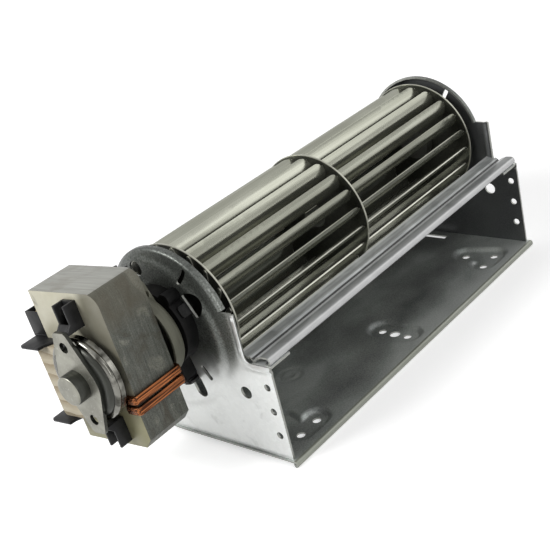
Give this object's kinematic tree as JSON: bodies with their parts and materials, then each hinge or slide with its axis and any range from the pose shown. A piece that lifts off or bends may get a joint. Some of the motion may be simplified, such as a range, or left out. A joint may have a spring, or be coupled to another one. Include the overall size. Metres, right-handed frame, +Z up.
{
  "type": "cross-flow cooling fan",
  "caption": "Cross-flow fan: bladed drum impeller in a pressed sheet housing with scroll and outlet, driven by a shaded-pole motor at one end.",
  "frame": {"origin": "middle of the middle screw pad's two small holes, on the plane that the pads and the front lip stand on", "axes": "+X along the shaft away from the motor, -Y out of the air outlet, +Z up"},
  "size_m": [0.258, 0.1021, 0.0936],
  "materials": {
    "plate_steel": "galvanised sheet with fine spangle",
    "floor_steel": "galvanised sheet, darker with a soft gradient",
    "channel_steel": "galvanised sheet, folded",
    "disc_steel": "bare sheet with a bright cut rim",
    "blade_steel": "warm grey rolled sheet",
    "shaft_steel": "ground steel",
    "hub_metal": "turned hub",
    "rubber": "black rubber",
    "bronze": "sintered bronze",
    "lamination_steel": "stacked laminations with fine lines",
    "bobbin_plastic": "charcoal black moulding",
    "coil_tape": "cream tape with brown streaks",
    "copper": "copper, orange brown",
    "terminal_brass": "tinned brass",
    "cast_zinc": "cast zinc, satin",
    "polished_steel": "polished ring",
    "foot_plastic": "black moulding",
    "screw_steel": "plated screws",
    "rotor_iron": "turned rotor"
  },
  "bodies": {
    "housing": {"motor_side_end_plate": "plate_steel", "far_end_plate": "plate_steel", "floor_sheet": "floor_steel", "tongue_channel": "channel_steel", "far_bearing_mount": "rubber", "far_bearing_bush": "bronze", "motor_rubber_mount": "rubber", "lamination_stack": "lamination_steel", "bobbin": "bobbin_plastic", "coil_winding": "coil_tape", "terminal_blades": "terminal_brass", "upper_shading_ring": "copper", "lower_shading_ring": "copper", "front_bracket": "cast_zinc", "rear_bracket": "cast_zinc", "front_bearing_bush": "bronze", "rear_bearing_bush": "bronze", "polished_ring": "polished_steel", "front_upper_foot": "foot_plastic", "front_lower_foot": "foot_plastic", "rear_upper_foot": "foot_plastic", "rear_lower_foot": "foot_plastic", "upper_screw": "screw_steel", "lower_screw": "screw_steel"},
    "impeller": {"near_disc": "disc_steel", "mid_disc": "disc_steel", "far_disc": "disc_steel", "blade_01": "blade_steel", "blade_02": "blade_steel", "blade_03": "blade_steel", "blade_04": "blade_steel", "blade_05": "blade_steel", "blade_06": "blade_steel", "blade_07": "blade_steel", "blade_08": "blade_steel", "blade_09": "blade_steel", "blade_10": "blade_steel", "blade_11": "blade_steel", "blade_12": "blade_steel", "blade_13": "blade_steel", "blade_14": "blade_steel", "blade_15": "blade_steel", "blade_16": "blade_steel", "blade_17": "blade_steel", "blade_18": "blade_steel", "blade_19": "blade_steel", "blade_20": "blade_steel", "drive_hub": "hub_metal", "far_hub": "hub_metal", "motor_shaft": "shaft_steel", "far_stub_shaft": "shaft_steel", "rotor_core": "rotor_iron", "rotor_end_rings": "cast_zinc"}
  },
  "joints": [
    {"name": "impeller_spin", "type": "hinge", "parent": "housing", "child": "impeller", "pos_m": [0, 0.0325, 0.0591], "axis": [1, 0, 0], "continuous": true}
  ]
}
